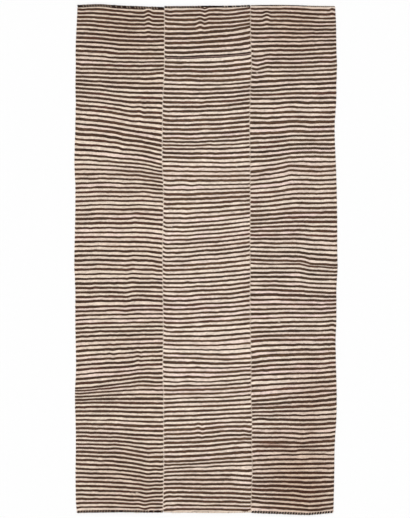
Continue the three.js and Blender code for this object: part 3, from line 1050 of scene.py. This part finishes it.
for label, kind, slot, pale_every, radius, overlap, proud, slant, seed, pale_spans in edging_table:
    node = "edging_" + label
    points = node_points(node)
    foot = points[points[:, 2] < FLOOR_TOUCH]
    foot_x = np.unique(foot[:, 0])
    line_y = np.array([foot[foot[:, 0] == x, 1].mean() for x in foot_x])
    inward = -1 if "top" in label else 1
    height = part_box(node)[1][2] / MM
    width = np.ptp(foot[foot[:, 0] == foot_x[3], 1]) / FOOT_SHARE
    path_x = np.linspace(foot_x[0] + radius, foot_x[-1] - radius, PATH_POINTS)
    path_y = np.interp(path_x, foot_x, line_y) + inward * (overlap - proud) / 2
    path = np.stack((path_x, path_y, np.full(PATH_POINTS, height / 2)), -1)
    settings = {
        "Pitch": WRAP_PITCH * MM, "Width": (width + overlap + proud) * MM, "Height": height * MM,
        "Yarn radius": radius * MM, "Slant": slant, "Pale every": float(pale_every), "Seed": seed,
        "Material": edging_yarns[kind],
    }
    edging = grown_along(node + "_wraps", path, overcast, settings, spans(path_x, pale_spans))
    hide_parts(node)

# Loose ends of yarn
# Short ends of ivory wool stand out of the cloth where a weft was joined or mended, and a few
# clipped warp ends and wisps hang out of the edging at the near end.
END_RADIUS = 0.6
END_SCATTER = 2


def loose_ends_tree():
    """A short bent strand at each marked place, lying over in the direction of its mark."""
    tree, inner, outer = growth_group(
        "loose_yarn_ends", Length=0.01, Rise=0.002, Drop=0.0, Yarn_radius=0.0007, Spread=0.5
    )
    get = inner.outputs
    places = put(tree, "GeometryNodeMeshToPoints", {"Mesh": get["Path"]}).outputs[0]
    strand = bent_yarn(
        tree, 5, 5, get["Yarn radius"],
        Start=(0.0, 0.0, 0.0),
        Middle=vector(tree, scaled(tree, get["Length"], 0.45), z=scaled(tree, get["Rise"], 2.0)),
        End=vector(tree, get["Length"], z=scaled(tree, get["Drop"], -1.0)),
    )
    sway = scaled(tree, random_value(tree, 0.0, 1.0, get["Seed"], 1), get["Spread"])
    turn = maths(tree, "ADD", path_marks(tree), sway)
    size = random_value(tree, 1.0, 0.35, get["Seed"], 2)
    strands = copies_at(tree, places, strand, turn, vector(tree, size, 1.0, 1.0), get["Seed"])
    return finish_tree(tree, strands, get["Material"], outer)


loose_ends = loose_ends_tree()
ACROSS, TO_RIGHT, OUTWARD = 0.1, 0.0, -math.pi / 2

# Columns: from and to across the rug, place along it, how many, lean. The tufts stand on the cloth
# and the hanging ends start on the edging at the near end.
tuft_places = (
    (323, 333, 1210, 9, ACROSS),
    (466, 476, -405, 9, ACROSS),
    (195, 202, 602, 5, ACROSS),
    (-228, -221, 215, 5, ACROSS),
    (-245, -238, -60, 5, ACROSS),
    (-503, -436, -1516, 22, TO_RIGHT),
)
hanging_places = (
    (-533, -428, -1641, 12, OUTWARD),
    (-838, -785, -1642, 7, OUTWARD),
    (-221, -169, -1643, 9, OUTWARD),
)
# Columns: name, places, length, rise, drop, foot above the floor, spread of the lean, seed.
for name, places, length, rise, drop, foot, spread, seed in (
    ("loose_tufts", tuft_places, 6.5, 1.6, 0.2, CLOTH + 0.5, 1.2, 61),
    ("hanging_ends", hanging_places, 8.0, 0.4, 1.7, 2.6, 0.5, 62),
):
    rng = np.random.default_rng(seed)
    points, leans = [], []
    for start, stop, along, count, lean in places:
        across = rng.uniform(start, stop, count)
        along = along + rng.uniform(-END_SCATTER, END_SCATTER, count)
        points.append(np.stack((across, along, foot + cloth_lift(across, along)), -1))
        leans += [lean] * count
    settings = {
        "Length": length * MM, "Rise": rise * MM, "Drop": drop * MM, "Yarn radius": END_RADIUS * MM,
        "Spread": spread, "Seed": seed, "Material": ivory_yarn,
    }
    ends = grown_along(name, np.concatenate(points), loose_ends, settings, leans)

# Floor, light and camera
# A plain pale floor under soft even light, seen from straight above the middle of the rug.
FLOOR_SIZE = 30.0
FLOOR_DROP = 0.0004
FLOOR_TONE = (0.93, 0.93, 0.93, 1)
ROOM_LIGHT = 0.72
SUN_LIGHT, SUN_SPREAD, SUN_LEAN = 1.35, 35, (-28, -24)
VIEW_LENGTH = 3.3645
VIEW_MIDDLE = (-0.0062, 0.0042)
LENS, SENSOR = 70.0, 36.0

floor_mesh = bpy.data.meshes.new("floor")
half = FLOOR_SIZE / 2
corners = [(x, y, -FLOOR_DROP) for x, y in ((-half, -half), (half, -half), (half, half), (-half, half))]
floor_mesh.from_pydata(corners, [], [(0, 1, 2, 3)])
floor_material, _, floor_shader = matt_material("pale_floor", roughness=0.9, specular=0.1)
floor_shader.inputs["Base Color"].default_value = FLOOR_TONE
floor_mesh.materials.append(floor_material)
floor = placed("floor", floor_mesh)

world = bpy.data.worlds.new("soft_room")
bpy.context.scene.world = world
world.use_nodes = True
background = world.node_tree.nodes["Background"]
background.inputs["Color"].default_value = (1, 1, 1, 1)
background.inputs["Strength"].default_value = ROOM_LIGHT

sun_data = bpy.data.lights.new("window_light", "SUN")
sun_data.energy = SUN_LIGHT
sun_data.angle = math.radians(SUN_SPREAD)
sun = placed("window_light", sun_data)
sun.rotation_euler = (math.radians(SUN_LEAN[0]), math.radians(SUN_LEAN[1]), 0)

camera_data = bpy.data.cameras.new("camera")
camera_data.lens = LENS
camera_data.sensor_width = SENSOR
camera = placed("camera", camera_data)
camera.location = (*VIEW_MIDDLE, VIEW_LENGTH * LENS / SENSOR + CLOTH * MM)
bpy.context.scene.camera = camera
bpy.context.scene.view_settings.view_transform = "Standard"
